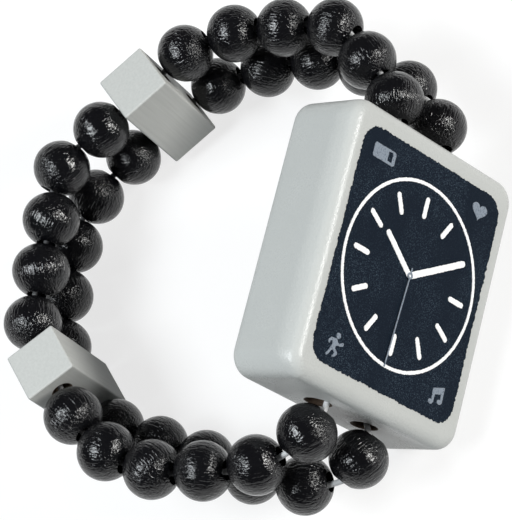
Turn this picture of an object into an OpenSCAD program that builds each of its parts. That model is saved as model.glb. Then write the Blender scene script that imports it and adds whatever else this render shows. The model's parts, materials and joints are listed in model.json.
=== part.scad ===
// Toy watch of painted wood: a block case with a printed dial on a beaded band.
// Round beads and two square spacers are threaded on two loops of elastic, which
// run through the case from its 6 o'clock end to its 12 o'clock end. The watch lies
// on its side: Y points to 12 o'clock, X to the side that the dial faces, Z up.
// Lengths are in millimetres and angles in degrees.

/* [Case] */
// Height of the case, from its 6 o'clock end to its 12 o'clock end
case_h = 38; // [32:0.5:44]
// Width of the case, from 9 o'clock to 3 o'clock
case_w = 33; // [26:0.5:38]
// Thickness of the case, from its back to the dial
case_t = 11.8; // [9:0.1:15]
// Radius of the case's corners, seen from the dial
case_corner_r = 3.2; // [2:0.1:5]
// Radius of the case's softened edges
case_edge_r = 1.8; // [0.8:0.1:1.9]
// Bore of the two holes that take the elastic lengthwise through the case
case_bore_d = 3.2; // [2.8:0.1:4]
// Angle that the case leans back as the watch lies on its side
case_lean = 27; // [20:1:34]

/* [Dial] */
// Bare wood left beside the printed panel on the 3 and 9 o'clock sides
panel_side = 2.6; // [1:0.1:4]
// Bare wood left above and below the printed panel
panel_end = 2.9; // [2:0.1:5]
// Radius of the printed panel's corners
panel_corner_r = 2.8; // [1:0.1:4]
// Thickness of each layer of ink
ink_t = 0.08; // [0.05:0.01:0.15]
// Space between the ring's outer edge and the panel's side
ring_side = 1.15; // [0.1:0.05:2]
// Width of the ring's line
ring_line = 0.45; // [0.3:0.05:0.8]
// Space between the ring and the outer ends of the hour marks
mark_inset = 1.3; // [0.8:0.1:3]
// Length of an hour mark
mark_len = 3; // [2:0.1:4]
// Width of an hour mark
mark_w = 0.72; // [0.4:0.02:1]
// Space between the hour hand's tip and the inner ends of the hour marks
hour_room = 0.85; // [0.3:0.05:2.5]
// Space between the minute hand's tip and the ring
minute_room = 1.4; // [0.2:0.05:3]
// Width of the hour and minute hands
hand_w = 0.66; // [0.4:0.02:1]
// Width of the seconds hand
second_w = 0.16; // [0.12:0.01:0.3]

/* [Beads] */
// Diameter of a bead
bead_d = 8; // [7:0.1:9]
// Length of a bead along the elastic, as turned and before it is drilled
bead_len = 7.7; // [6.8:0.1:8.2]
// Bore of a bead
bead_bore_d = 2.7; // [2.4:0.1:3]
// Least space between one bead and the next on the elastic
bead_gap = 0.14; // [0.12:0.01:0.3]
// Space between the case's end and the first bead
case_gap = 0.35; // [0.2:0.05:0.8]

/* [Spacers] */
// Length of a spacer along the band
spacer_len = 7.5; // [6:0.1:9]
// Depth of a spacer, from the inside of the band to its outside
spacer_depth = 7.7; // [6:0.1:9]
// Wood left outside each of a spacer's bores
spacer_wall = 1.9; // [1.2:0.1:3]
// Width of the small bevel on a spacer's edges
spacer_bevel = 0.25; // [0.1:0.05:0.6]
// Space between a spacer and the bead beside it
spacer_gap = 0.4; // [0.25:0.05:0.6]

/* [Elastic] */
// Diameter of the elastic
cord_d = 0.8; // [0.5:0.1:0.9]
// Space between the two rows of beads
row_gap = 1.1; // [0.5:0.1:2]
// Diameter of the knot that is tucked into the case
knot_d = 2.2; // [1.8:0.1:2.6]
// Length of the knot
knot_len = 4; // [3:0.1:6]

/* [Hidden] */
// Beads in each row: six o'clock run, back run and twelve o'clock run
six_beads = 6;
back_beads = 5;
twelve_beads = 6;
row_beads = six_beads + back_beads + twelve_beads;
// How the band's bend is shared among its stations, from the second bead at the
// case's 6 o'clock end round to the last but one at its 12 o'clock end
turn_shares = [2.1, 0.4, 0.6, 0.8, 1.2, 0.6, 1.9, 0.4, 0.5, 2.2, 0.2, 0.3, 1.5, 0.9, 0.7, 2, 0.9];
// How far each station keeps the case's lean, where a 1 is as much as the case
lean_shares = [1, 1, 1, 1, 0.8, 0.3, 0, 0, 0, 0, 0, 0, 0, 0, 0, 0, 0.2, 0.8, 1];
// How much of the largest twist each station has
twist_shares = [0, 0.1, 0.6, 1, 0.9, 0.35, 0, -0.1, -0.3, -0.3, 0.2, 0.1, 0, 0.3, 0.35, 0.2, 0.4, 0, 0];
// How far the two rows part at each station, as a share of their distance in the spacers
part_shares = [0.12, 0.04, 0.04, 0.1, 0.1, 0.03, 0, 0, 0, 0, 0, 0, 0, 0, 0, 0, 0, 0, 0];
// Largest angle that a pair of beads turns about the line of the band
pair_twist = 26;
// Angle between the case's bores and the way to the second bead, which the first bead takes up
exit_bend = 50;
// Directions of the hands, clockwise from 12 o'clock
hour_angle = 305;
minute_angle = 60;
second_angle = 183;
// Hours on the dial and the angle from one mark to the next
hours = 12;
hour_step = 360 / hours;
// Radius of the ring round the dial's centre pin, and its line
hub_r = 0.32;
hub_line = 0.14;
// Room between the seconds hand's end and the ring's outer edge
second_tip = 0.05;
// Overrun of a cut past the face that it opens
cut = 0.5;
// Widest bevel at the mouth of a bore in the case
mouth_bevel = 0.3;
// How much of its half length a spacer holds the elastic straight, as a share
hold_share = 0.6;
// Depth in the case at which the elastic lies in the middle of the bore
case_hold = 5;
// How far the elastic stands off a bead's middle where the band bends, as a share of its room there
stand_share = 0.9;
// Points on half of a bead's outline, sides of the elastic and its rings from one bead to the next
bead_points = 12;
cord_sides = 8;
cord_steps = 5;
// Shape of the knot: places along half its length and its bulge there, as shares
knot_shares = [[-1, 0.1], [-0.85, 0.75], [-0.6, 1], [-0.35, 0.7], [-0.12, 0.95], [0.12, 0.95],
    [0.35, 0.7], [0.6, 1], [0.85, 0.75], [1, 0.1]];
// Halvings of the search for the bend that closes the band on the case
search_steps = 40;
// Least and greatest angle of the whole bend that the search tries
least_turn = 60;
most_turn = 340;

panel_w = case_w - 2 * panel_side;
panel_h = case_h - 2 * panel_end;
ring_r = panel_w / 2 - ring_side;
mark_r = ring_r - ring_line - mark_inset;
hour_len = mark_r - mark_len - hour_room;
minute_len = ring_r - ring_line - minute_room;
row_pitch = bead_d + row_gap;
spacer_w = row_pitch + bead_bore_d + 2 * spacer_wall;
bead_r = bead_d / 2;
stations = row_beads + 2;
last = stations - 1;
six_spacer = six_beads;
twelve_spacer = six_beads + 1 + back_beads;
exit_len = bead_r + case_gap;
span = case_h + 2 * exit_len;

function unit(v) = v / norm(v);
function is_spacer(k) = k == six_spacer || k == twelve_spacer;
function sum_first(v, n) = n <= 0 ? 0 : v[n - 1] + sum_first(v, n - 1);

// How far a bead reaches from its centre, at an angle from its bore
function bead_reach(a) =
    let (swell = atan(bead_d / bead_len * tan(a)), rim = sqrt(1 - pow(bead_bore_d / bead_d, 2)))
    bead_r * sin(swell) > bead_bore_d / 2
        ? norm([bead_len / 2 * cos(a), bead_r * sin(a)])
        : bead_len / 2 * rim * cos(a) + bead_bore_d / 2 * sin(a);

// The band in plan, from the first pair of beads to the last, for one total bend
function turn_at(turn, k) = k <= 0 || k >= last ? exit_bend
    : turn * turn_shares[k - 1] / sum_first(turn_shares, len(turn_shares));
function link_len(turn, k) =
    let (a = turn_at(turn, k) / 2, b = turn_at(turn, k + 1) / 2)
    is_spacer(k) ? (spacer_len / 2 + bead_reach(a + b) + spacer_gap) / cos(a)
    : is_spacer(k + 1) ? (spacer_len / 2 + bead_reach(a + b) + spacer_gap) / cos(b)
    : bead_reach(a) + bead_reach(b) + bead_gap;
function walk(turn) =
    [for (k = 0, h = 0, p = [0, 0]; k <= last;
        p = p + link_len(turn, k) * [cos(h), sin(h)], h = h - turn_at(turn, k + 1), k = k + 1) p];
function closing_turn(low, high, tries) =
    let (middle = (low + high) / 2)
    tries == 0 ? middle
    : norm(walk(middle)[last]) > span ? closing_turn(middle, high, tries - 1)
    : closing_turn(low, middle, tries - 1);
band_turn = closing_turn(least_turn, most_turn, search_steps);
walked = walk(band_turn);
walked_angle = 90 - atan2(walked[last].y, walked[last].x);
plan = [for (p = walked)
    [p.x * cos(walked_angle) - p.y * sin(walked_angle),
        p.x * sin(walked_angle) + p.y * cos(walked_angle) - span / 2]];

// Lying on its side, the case rests on the back edge of its 3 o'clock side, and the
// band falls away from it until the farthest beads touch the ground
case_rise = (case_w / 2 - case_edge_r) * cos(case_lean) + (case_t / 2 - case_edge_r) * sin(case_lean)
    + case_edge_r;
band_reach = -min([for (p = plan) p.x]);
droop = asin((case_rise - bead_r) / norm([band_reach, row_pitch / 2])) - atan(row_pitch / 2 / band_reach);
band_lean = case_lean - droop;

// Stations of the band: the way it runs, the way out of the loop, and from row to row
function along_at(k) =
    let (before = k == 0 ? [0, -case_h / 2] : plan[k - 1], after = k == last ? [0, case_h / 2] : plan[k + 1],
        t = unit(after - before)) [t.x, t.y, 0];
function across_at(k) =
    let (t = along_at(k), lean = band_lean * lean_shares[k], twist = pair_twist * twist_shares[k])
    cos(twist) * [-sin(lean), 0, cos(lean)] + sin(twist) * [-t.y, t.x, 0];
function centre_at(k) = [plan[k].x, plan[k].y, 0];
function row_point(row, k) = centre_at(k) + row * row_pitch / 2 * (1 + part_shares[k]) * across_at(k);
function exit_point(row, end) =
    [0, end * case_h / 2, 0] + row * row_pitch / 2 * [-sin(band_lean), 0, cos(band_lean)];
function face_point(row, k, side) = row_point(row, k) + side * spacer_len / 2 * along_at(k);

// Beads of one run, spread so that the room left over is the same between all of them
function length_to(path, n) = n <= 0 ? 0 : norm(path[n] - path[n - 1]) + length_to(path, n - 1);
function point_on(path, s, i = 0) =
    let (d = norm(path[i + 1] - path[i]))
    s <= d || i == len(path) - 2 ? path[i] + (path[i + 1] - path[i]) * s / d : point_on(path, s - d, i + 1);
function spread(path, gaps) =
    let (fit = length_to(path, len(path) - 1) / sum_first(gaps, len(gaps)))
    [for (j = [1:len(gaps) - 1]) point_on(path, sum_first(gaps, j) * fit)];
function link(k) = link_len(band_turn, k);
function to_face(k, beside) = link(k) - spacer_len / 2 / cos(turn_at(band_turn, beside) / 2);

function six_run(row) =
    let (ends = six_spacer - 1)
    spread(concat([exit_point(row, -1)], [for (k = [0:ends]) row_point(row, k)],
            [face_point(row, six_spacer, -1)]),
        concat([exit_len], [for (k = [0:ends - 1]) link(k)], [to_face(ends, six_spacer)]));
function back_run(row) =
    spread(concat([face_point(row, six_spacer, 1)],
            [for (k = [six_spacer + 1:twelve_spacer - 1]) row_point(row, k)],
            [face_point(row, twelve_spacer, -1)]),
        concat([to_face(six_spacer, six_spacer)], [for (k = [six_spacer + 1:twelve_spacer - 2]) link(k)],
            [to_face(twelve_spacer - 1, twelve_spacer)]));
function twelve_run(row) =
    spread(concat([face_point(row, twelve_spacer, 1)], [for (k = [twelve_spacer + 1:last]) row_point(row, k)],
            [exit_point(row, 1)]),
        concat([to_face(twelve_spacer, twelve_spacer)], [for (k = [twelve_spacer + 1:last - 1]) link(k)],
            [exit_len]));

// The whole way of one row, from the case's 6 o'clock end round to its 12 o'clock end
function row_way(row) =
    concat([exit_point(row, -1)], six_run(row),
        [face_point(row, six_spacer, -1), face_point(row, six_spacer, 1)], back_run(row),
        [face_point(row, twelve_spacer, -1), face_point(row, twelve_spacer, 1)], twelve_run(row),
        [exit_point(row, 1)]);
top_way = row_way(1);
base_way = row_way(-1);
// Place of a bead on its row's way, past the ends and the spacers' faces
function place_of(i) = i <= six_beads ? i : i <= six_beads + back_beads ? i + 2 : i + 4;
// Line of a bead's bore, halfway between the ways to its neighbours
function way_slope(way, n) = unit(unit(way[n + 1] - way[n]) + unit(way[n] - way[n - 1]));

// Places in the band's plane, carried over to the watch as it lies
function as_it_lies(p) =
    [p.x * cos(droop) - p.z * sin(droop), p.y, case_rise + p.x * sin(droop) + p.z * cos(droop)];
beads_lie = [for (i = [1:row_beads]) each [as_it_lies(top_way[place_of(i)]), as_it_lies(base_way[place_of(i)])]];
front_x = (case_t / 2 - case_edge_r) * cos(case_lean) + (case_w / 2 - case_edge_r) * sin(case_lean) + case_edge_r;
back_x = min([for (p = beads_lie) p.x]) - bead_r;
six_y = min([for (p = beads_lie) p.y]) - bead_r;
twelve_y = max([for (p = beads_lie) p.y]) + bead_r;
case_place = [-(front_x + back_x) / 2, -(six_y + twelve_y) / 2, case_rise];

module lay_band() {
    translate(case_place) rotate([0, -droop, 0]) children();
}

// In the case's own directions, x points to 3 o'clock, y to 12 o'clock and z out of the dial
module lay_case() {
    translate(case_place) rotate([0, 90 - case_lean, 0]) children();
}

module on_dial(layer) {
    lay_case() translate([0, 0, case_t / 2 + layer * ink_t]) linear_extrude(ink_t) children();
}

module rounded_plate(w, h, r) {
    square([w - 2 * r, h], center = true);
    square([w, h - 2 * r], center = true);
    for (x = [-1, 1], y = [-1, 1]) translate([x * (w / 2 - r), y * (h / 2 - r)]) circle(r, $fn = 48);
}

module corner_post() {
    rotate_extrude($fn = 32) intersection() {
        hull() for (z = [-1, 1]) translate([case_corner_r - case_edge_r, z * (case_t / 2 - case_edge_r)]) {
            circle(case_edge_r, $fn = 24);
            translate([-case_corner_r, -case_edge_r]) square([case_corner_r, 2 * case_edge_r]);
        }
        translate([0, -case_t]) square([case_corner_r, 2 * case_t]);
    }
}

module case() {
    color([0.78, 0.79, 0.77]) lay_case() difference() {
        hull() for (x = [-1, 1], y = [-1, 1])
            translate([x * (case_w / 2 - case_corner_r), y * (case_h / 2 - case_corner_r), 0]) corner_post();
        for (x = [-1, 1]) translate([x * row_pitch / 2, 0, 0]) {
            rotate([90, 0, 0]) cylinder(d = case_bore_d, h = case_h + 2 * cut, center = true, $fn = 40);
            for (y = [-1, 1]) translate([0, y * case_h / 2, 0]) rotate([-90 * y, 0, 0])
                translate([0, 0, -mouth_bevel]) cylinder(d1 = case_bore_d, d2 = case_bore_d
                    + 2 * (mouth_bevel + cut), h = mouth_bevel + cut, $fn = 40);
        }
    }
}

module dial_panel() {
    color([0.1, 0.13, 0.18]) on_dial(0) rounded_plate(panel_w, panel_h, panel_corner_r);
}

module dial_ring() {
    color("white") on_dial(1) difference() {
        circle(ring_r, $fn = 120);
        circle(ring_r - ring_line, $fn = 120);
    }
}

module pill(from, to, w) {
    translate([-w / 2, from + w / 2]) square([w, to - from - w]);
    for (y = [from + w / 2, to - w / 2]) translate([0, y]) circle(w / 2, $fn = 24);
}

module hour_marks() {
    color("white") on_dial(1) for (h = [1:hours]) rotate(-h * hour_step) pill(mark_r - mark_len, mark_r, mark_w);
}

module hour_hand() {
    color("white") on_dial(1) rotate(-hour_angle) pill(0, hour_len, hand_w);
}

module minute_hand() {
    color("white") on_dial(2) rotate(-minute_angle) pill(0, minute_len, hand_w);
}

module second_hand() {
    color([0.6, 0.63, 0.68]) on_dial(3) {
        rotate(-second_angle) translate([-second_w / 2, hub_r]) square([second_w, ring_r - second_tip - hub_r]);
        difference() {
            circle(hub_r + hub_line, $fn = 32);
            circle(hub_r - hub_line, $fn = 32);
        }
    }
}

module spacer(k) {
    t = along_at(k);
    color([0.76, 0.77, 0.75]) lay_band() translate(centre_at(k)) rotate([0, 0, atan2(t.y, t.x)]) difference() {
        hull() {
            cube([spacer_len, spacer_depth - 2 * spacer_bevel, spacer_w - 2 * spacer_bevel], center = true);
            cube([spacer_len - 2 * spacer_bevel, spacer_depth, spacer_w - 2 * spacer_bevel], center = true);
            cube([spacer_len - 2 * spacer_bevel, spacer_depth - 2 * spacer_bevel, spacer_w], center = true);
        }
        for (row = [-1, 1]) translate([0, 0, row * row_pitch / 2]) rotate([0, 90, 0])
            cylinder(d = bead_bore_d, h = spacer_len + 2 * cut, center = true, $fn = 32);
    }
}

module spacer_six() {
    spacer(six_spacer);
}

module spacer_twelve() {
    spacer(twelve_spacer);
}

// A bead is turned a little shorter than it is round, and its bore trims its ends
module bead(way, i) {
    n = place_of(i);
    slope = way_slope(way, n);
    color([0.13, 0.13, 0.14]) lay_band() translate(way[n])
        rotate([0, acos(slope.z), atan2(slope.y, slope.x)]) difference() {
            rotate_extrude($fn = 48) polygon([for (j = [-bead_points:bead_points])
                let (a = 90 * j / bead_points) [bead_r * cos(a), bead_len / 2 * sin(a)]]);
            cylinder(d = bead_bore_d, h = bead_len + 2 * cut, center = true, $fn = 32);
        }
}

// Elastic: a smooth tube through every bore, closed by the knot in the case. A hold is a
// place on it and its direction there. Where the band bends, the elastic bows in the bead
function hermite(a, b, s) =
    let (d = norm(b[0] - a[0]))
    (2 * pow(s, 3) - 3 * pow(s, 2) + 1) * a[0] + (pow(s, 3) - 2 * pow(s, 2) + s) * d * a[1]
    + (3 * pow(s, 2) - 2 * pow(s, 3)) * b[0] + (pow(s, 3) - pow(s, 2)) * d * b[1];
function bead_hold(way, n) =
    let (bend = unit(way[n + 1] - way[n]) - unit(way[n] - way[n - 1]))
    [way[n] - stand_share * (bead_bore_d - cord_d) / 2 * bend, way_slope(way, n)];
function bead_holds(way, from, to) = [for (i = [from:to]) bead_hold(way, place_of(i))];
function spacer_holds(row, k) =
    [for (side = [-1, 1]) [row_point(row, k) + side * hold_share * spacer_len / 2 * along_at(k), along_at(k)]];
function holds(row, way) = concat(
    [[way[0] + [0, case_hold, 0], [0, -1, 0]]], bead_holds(way, 1, six_beads),
    spacer_holds(row, six_spacer), bead_holds(way, six_beads + 1, six_beads + back_beads),
    spacer_holds(row, twelve_spacer), bead_holds(way, six_beads + back_beads + 1, row_beads),
    [[way[len(way) - 1] - [0, case_hold, 0], [0, -1, 0]]]);
function cord_line(list) =
    [for (n = [0:len(list) - 2], s = [0:cord_steps - 1]) hermite(list[n], list[n + 1], s / cord_steps)];
module elastic(row, way) {
    list = holds(row, way);
    run = concat(cord_line(list), [list[len(list) - 1][0]]);
    middle = (way[0] + way[len(way) - 1]) / 2;
    line = concat(run, [for (q = knot_shares) middle - [0, q[0] * knot_len / 2, 0]]);
    radii = concat([for (p = run) cord_d / 2], [for (q = knot_shares) cord_d / 2 + q[1] * (knot_d - cord_d) / 2]);
    rings = len(line);
    skin = [for (n = [0:rings - 1])
        let (t = unit(line[(n + 1) % rings] - line[(n + rings - 1) % rings]),
            side = unit(cross(t, [0, 0, 1])), up = cross(side, t))
        for (j = [0:cord_sides - 1])
            let (a = 360 * j / cord_sides) line[n] + radii[n] * (cos(a) * side + sin(a) * up)];
    sides = [for (n = [0:rings - 1], j = [0:cord_sides - 1])
        let (m = (n + 1) % rings, i = (j + 1) % cord_sides,
            a = n * cord_sides + j, b = n * cord_sides + i, c = m * cord_sides + i, d = m * cord_sides + j)
        each [[a, b, c], [a, c, d]]];
    color([0.85, 0.86, 0.86]) lay_band() polyhedron(skin, sides);
}

module elastic_top() {
    elastic(1, top_way);
}

module elastic_base() {
    elastic(-1, base_way);
}

case();
dial_panel();
dial_ring();
hour_marks();
hour_hand();
minute_hand();
second_hand();
spacer_six();
spacer_twelve();
elastic_top();
elastic_base();
for (i = [1:row_beads]) {
    bead(top_way, i);
    bead(base_way, i);
}
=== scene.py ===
import json
import math
import random

import bmesh
import bpy
import numpy as np
from mathutils import Matrix, Vector


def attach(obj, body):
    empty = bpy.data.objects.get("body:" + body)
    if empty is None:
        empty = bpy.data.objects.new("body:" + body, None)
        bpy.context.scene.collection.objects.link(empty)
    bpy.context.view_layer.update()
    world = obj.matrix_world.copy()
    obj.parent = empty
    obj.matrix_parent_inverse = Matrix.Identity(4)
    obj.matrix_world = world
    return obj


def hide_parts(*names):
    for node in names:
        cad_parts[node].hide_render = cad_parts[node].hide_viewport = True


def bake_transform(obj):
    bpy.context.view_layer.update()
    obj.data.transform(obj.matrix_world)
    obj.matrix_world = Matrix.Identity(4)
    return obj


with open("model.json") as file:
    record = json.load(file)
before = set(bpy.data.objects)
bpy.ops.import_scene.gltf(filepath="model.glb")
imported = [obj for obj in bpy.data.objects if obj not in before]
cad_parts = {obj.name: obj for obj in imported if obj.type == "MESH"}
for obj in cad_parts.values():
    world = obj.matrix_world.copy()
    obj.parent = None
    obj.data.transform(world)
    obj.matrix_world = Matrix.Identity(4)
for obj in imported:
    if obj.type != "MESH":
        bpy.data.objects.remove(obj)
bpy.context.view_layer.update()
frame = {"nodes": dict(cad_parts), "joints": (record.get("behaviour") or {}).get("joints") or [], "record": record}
mm = 0.001


# frame: what is read from the CAD, in millimetres


def unit(v):
    return v / np.linalg.norm(v)


def upright(way):  # axes with the given way as the third
    side = unit(np.cross(way, [0, 0, 1]))
    return [side, np.cross(way, side), way]


def placement(centre, axes):  # from a piece's own millimetres to the frame's metres
    turn = Matrix([[axes[c][r] for c in range(3)] for r in range(3)]).to_4x4()
    return Matrix.Translation(Vector(centre) * mm) @ turn @ Matrix.Scale(mm, 4)


def nodeTriangles(name):  # corners of a CAD node's triangles
    mesh = frame["nodes"][name].data
    mesh.calc_loop_triangles()
    points = np.array([v.co for v in mesh.vertices], float) * 1000
    corners = np.array([t.vertices for t in mesh.loop_triangles])
    return points[corners]


def nodePoints(name, centre, axes):  # the triangles' corners, seen from a centre along its axes
    return (nodeTriangles(name).reshape(-1, 3) - centre) @ np.array(axes).T


def nodeSpan(name, centre, axes):  # lowest and highest reach of a node along each axis
    flat = nodePoints(name, centre, axes)
    return flat.min(0), flat.max(0)


def spacerAxes(name):  # along the band, out of the loop and from row to row
    tri = nodeTriangles(name)
    centre = (tri.reshape(-1, 3).min(0) + tri.reshape(-1, 3).max(0)) / 2
    cross = np.cross(tri[:, 1] - tri[:, 0], tri[:, 2] - tri[:, 0])
    area = np.linalg.norm(cross, axis=1)
    keep = area > 1e-6
    normal, area = cross[keep] / area[keep, None], area[keep]
    bigFaces = [area[(normal @ n) > 0.999].sum() for n in normal]
    outward = normal[int(np.argmax(bigFaces))]
    spread = tri.reshape(-1, 3) - centre
    longWay = np.linalg.eigh(spread.T @ spread)[1][:, 2]
    rowWay = normal[int(np.argmax(normal @ (longWay * math.copysign(1, longWay[2]))))]
    outward = outward * math.copysign(1, outward[0] * centre[0] + outward[1] * centre[1])
    return centre, [np.cross(outward, rowWay), outward, rowWay]


def spacerHalf(name):
    low, high = nodeSpan(name, *spacers[name])
    return (high - low) / 2


def rowPitch():  # from the upper row's elastic to the lower row's
    return float(np.linalg.norm(rows["top"][8][0] - rows["base"][8][0]))


beadsInRow = 17
spacerAfter = {"spacer_six": 6, "spacer_twelve": 11}  # the bead before each spacer
boxRoom = 0.01  # keeps the case's block inside the solid's box

joints = {j["name"]: j for j in frame["joints"]}
caseCentre = np.array(joints["band_tilt"]["pos_m"]) * 1000
dialWay = -np.array(frame["record"]["mounts"][0]["axis"])
caseAxes = [np.cross([0, 1, 0], dialWay), np.array([0.0, 1.0, 0.0]), dialWay]
casePlace = placement(caseCentre, caseAxes)
caseHalf = nodeSpan("case", caseCentre, caseAxes)[1] - boxRoom
rows = {"top": [], "base": []}
for word, row in rows.items():
    for i in range(1, beadsInRow + 1):
        joint = joints[f"bead_{word}_{i}_spin"]
        row.append((np.array(joint["pos_m"]) * 1000, unit(np.array(joint["axis"]))))
spacers = {name: spacerAxes(name) for name in spacerAfter}
rowWay = spacers["spacer_six"][1][2]
print("frame read: case half sizes", caseHalf.round(2), "row way", rowWay.round(3))


def newObject(name, data):
    piece = bpy.data.objects.new(name, data)
    bpy.context.scene.collection.objects.link(piece)
    return piece


# camera, at the photograph's angle
cameraLook = {
    "place": (132.84, -105.75, 350.76),  # mm
    "right": (0.9278, 0.2447, -0.2815),
    "up": (-0.1404, 0.9284, 0.344),
    "lens": 194.3, "sensor": 36,
    "near": 0.01, "far": 20,
}


def addCamera(look):
    data = bpy.data.cameras.new("watchCamera")
    data.lens, data.sensor_width = look["lens"], look["sensor"]
    data.clip_start, data.clip_end = look["near"], look["far"]
    right = Vector(look["right"]).normalized()
    up = Vector(look["up"])
    up = (up - right * up.dot(right)).normalized()
    turn = Matrix([right, up, right.cross(up)]).transposed().to_4x4()
    camera = newObject("watchCamera", data)
    camera.matrix_world = Matrix.Translation(Vector(look["place"]) * mm) @ turn
    bpy.context.scene.camera = camera


# lights: two softboxes beside the camera, in metres and watts
lightLook = {
    "left.softbox": {"way": (-0.43, -0.32, 0.845), "size": (0.40, 0.24), "power": 4.85,
                     "colour": (0.92, 0.97, 1.0)},
    "right.softbox": {"way": (0.82, 0.25, 0.515), "size": (0.27, 0.18), "power": 4.3,
                      "colour": (1.0, 0.992, 0.965)},
}
softboxDistance, softboxAim = 0.7, Vector((0, 0, 0.015))
roomLight = 0.06


def addLight(name, look):
    data = bpy.data.lights.new(name, "AREA")
    data.shape, data.size, data.size_y = "RECTANGLE", look["size"][0], look["size"][1]
    data.energy, data.color = look["power"], look["colour"]
    way = Vector(look["way"]).normalized()
    lamp = newObject(name, data)
    lamp.location = way * softboxDistance + softboxAim
    lamp.rotation_euler = way.to_track_quat("Z", "Y").to_euler()


def makeWorld(strength):
    world = bpy.data.worlds.new("studio")
    world.use_nodes = True
    world.node_tree.nodes["Background"].inputs["Color"].default_value = (1, 1, 1, 1)
    world.node_tree.nodes["Background"].inputs["Strength"].default_value = strength
    bpy.context.scene.world = world


# nodes: short ways to write them, for shaders and for Geometry Nodes


def isSocket(value):
    return isinstance(value, bpy.types.NodeSocket)


def addNode(tree, kind, inputs=None, **settings):
    node = tree.nodes.new(kind)
    for name, value in settings.items():
        setattr(node, name, value)
    for key, value in (inputs or {}).items():
        if isSocket(value):
            tree.links.new(value, node.inputs[key])
        else:
            node.inputs[key].default_value = value
    return node


def calc(tree, operation, a, b=0.0, c=0.0):
    return addNode(tree, "ShaderNodeMath", {0: a, 1: b, 2: c}, operation=operation).outputs[0]


def calcVector(tree, operation, a, b=None, scale=None):
    inputs = {0: a}
    if b is not None:
        inputs[1] = b
    if scale is not None:
        inputs["Scale"] = scale
    return addNode(tree, "ShaderNodeVectorMath", inputs, operation=operation).outputs["Vector"]


def vectorOf(tree, x=0.0, y=0.0, z=0.0):
    return addNode(tree, "ShaderNodeCombineXYZ", {0: x, 1: y, 2: z}).outputs[0]


def spanned(tree, value, low, high, toLow, toHigh):
    inputs = {"Value": value, "From Min": low, "From Max": high, "To Min": toLow, "To Max": toHigh}
    return addNode(tree, "ShaderNodeMapRange", inputs, clamp=True).outputs["Result"]


def noiseNode(tree, place, size, detail=1.0, roughness=0.5):
    return addNode(tree, "ShaderNodeTexNoise",
                   {"Vector": place, "Scale": calc(tree, "DIVIDE", 1.0, size), "Detail": detail,
                    "Roughness": roughness})


def noise(*values):
    return noiseNode(*values).outputs[0]


def mixColours(tree, share, a, b):
    a, b = (c if isSocket(c) else (*c, 1.0) for c in (a, b))
    return addNode(tree, "ShaderNodeMix", {0: share, 6: a, 7: b}, data_type="RGBA").outputs[2]


def newGroup(name, kind, inputs, outputs):
    tree = bpy.data.node_groups.new(name, kind)
    for way, sockets in (("INPUT", inputs), ("OUTPUT", outputs)):
        for label, socketKind, *value in sockets:
            socket = tree.interface.new_socket(label, in_out=way, socket_type="NodeSocket" + socketKind)
            if value:
                socket.default_value = value[0]
    return tree, tree.nodes.new("NodeGroupInput").outputs, tree.nodes.new("NodeGroupOutput").inputs


def grainGroup():  # fibres along the piece's own z, in patches, with short flecks between them
    tree, start, end = newGroup("woodGrain", "ShaderNodeTree",
                                [("Vector", "Vector"), ("Fibre Width", "Float", 0.14),
                                 ("Fibre Length", "Float", 1.2), ("Patch Size", "Float", 5.0),
                                 ("Fleck Size", "Float", 0.2), ("Flecks", "Float", 0.0)],
                                [("Height", "Float"), ("Fibres", "Float"), ("Patches", "Float")])
    across = calc(tree, "DIVIDE", 1.0, start["Fibre Width"])
    along = calc(tree, "DIVIDE", 1.0, start["Fibre Length"])
    place = calcVector(tree, "MULTIPLY", start["Vector"], vectorOf(tree, across, across, along))
    fibres = noise(tree, place, 1.25, 2.0)
    pores = noise(tree, calcVector(tree, "SCALE", place, scale=0.55), 1.0)
    patches = spanned(tree, noise(tree, start["Vector"], start["Patch Size"]), 0.35, 0.65, 0.35, 1.0)
    flecks = noise(tree, start["Vector"], start["Fleck Size"])
    ridges = spanned(tree, fibres, 0.3, 0.7, 0.0, 1.0)
    pits = spanned(tree, pores, 0.36, 0.5, 0.0, 1.0)
    height = calc(tree, "MULTIPLY", calc(tree, "ADD", ridges, pits), patches)
    height = calc(tree, "MULTIPLY_ADD", flecks, start["Flecks"], height)
    for label, value in (("Height", height), ("Fibres", ridges), ("Patches", patches)):
        tree.links.new(value, end[label])
    return tree


def speckGroup():  # small specks of one size, more or fewer of them, and fewer in some patches
    tree, start, end = newGroup("specks", "ShaderNodeTree",
                                [("Vector", "Vector"), ("Speck Size", "Float", 0.2), ("Share", "Float", 0.3),
                                 ("Patch Size", "Float", 6.0), ("Patchiness", "Float", 0.0)],
                                [("Mask", "Float"), ("Value", "Float")])
    grains = noise(tree, start["Vector"], start["Speck Size"], 2.0, 0.6)
    edge = calc(tree, "SUBTRACT", 0.78, calc(tree, "MULTIPLY", start["Share"], 0.5))
    mask = spanned(tree, grains, edge, calc(tree, "ADD", edge, 0.1), 0.0, 1.0)
    patches = spanned(tree, noise(tree, start["Vector"], start["Patch Size"], 2.0), 0.38, 0.62, 1.0, 0.0)
    bare = calc(tree, "MULTIPLY", patches, start["Patchiness"])
    mask = calc(tree, "MULTIPLY", mask, calc(tree, "SUBTRACT", 1.0, bare))
    tree.links.new(mask, end["Mask"])
    tree.links.new(grains, end["Value"])
    return tree


def coatGroup():  # unevenness of brushed or sprayed paint: slow dents and fine peel
    tree, start, end = newGroup("paintCoat", "ShaderNodeTree",
                                [("Vector", "Vector"), ("Dent Size", "Float", 4.0),
                                 ("Peel Size", "Float", 0.35), ("Peel Share", "Float", 0.15)],
                                [("Height", "Float")])
    dents = noise(tree, start["Vector"], start["Dent Size"])
    peel = noise(tree, start["Vector"], start["Peel Size"], 2.0)
    height = calc(tree, "ADD", dents, calc(tree, "MULTIPLY", peel, start["Peel Share"]))
    tree.links.new(height, end["Height"])
    return tree


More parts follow.
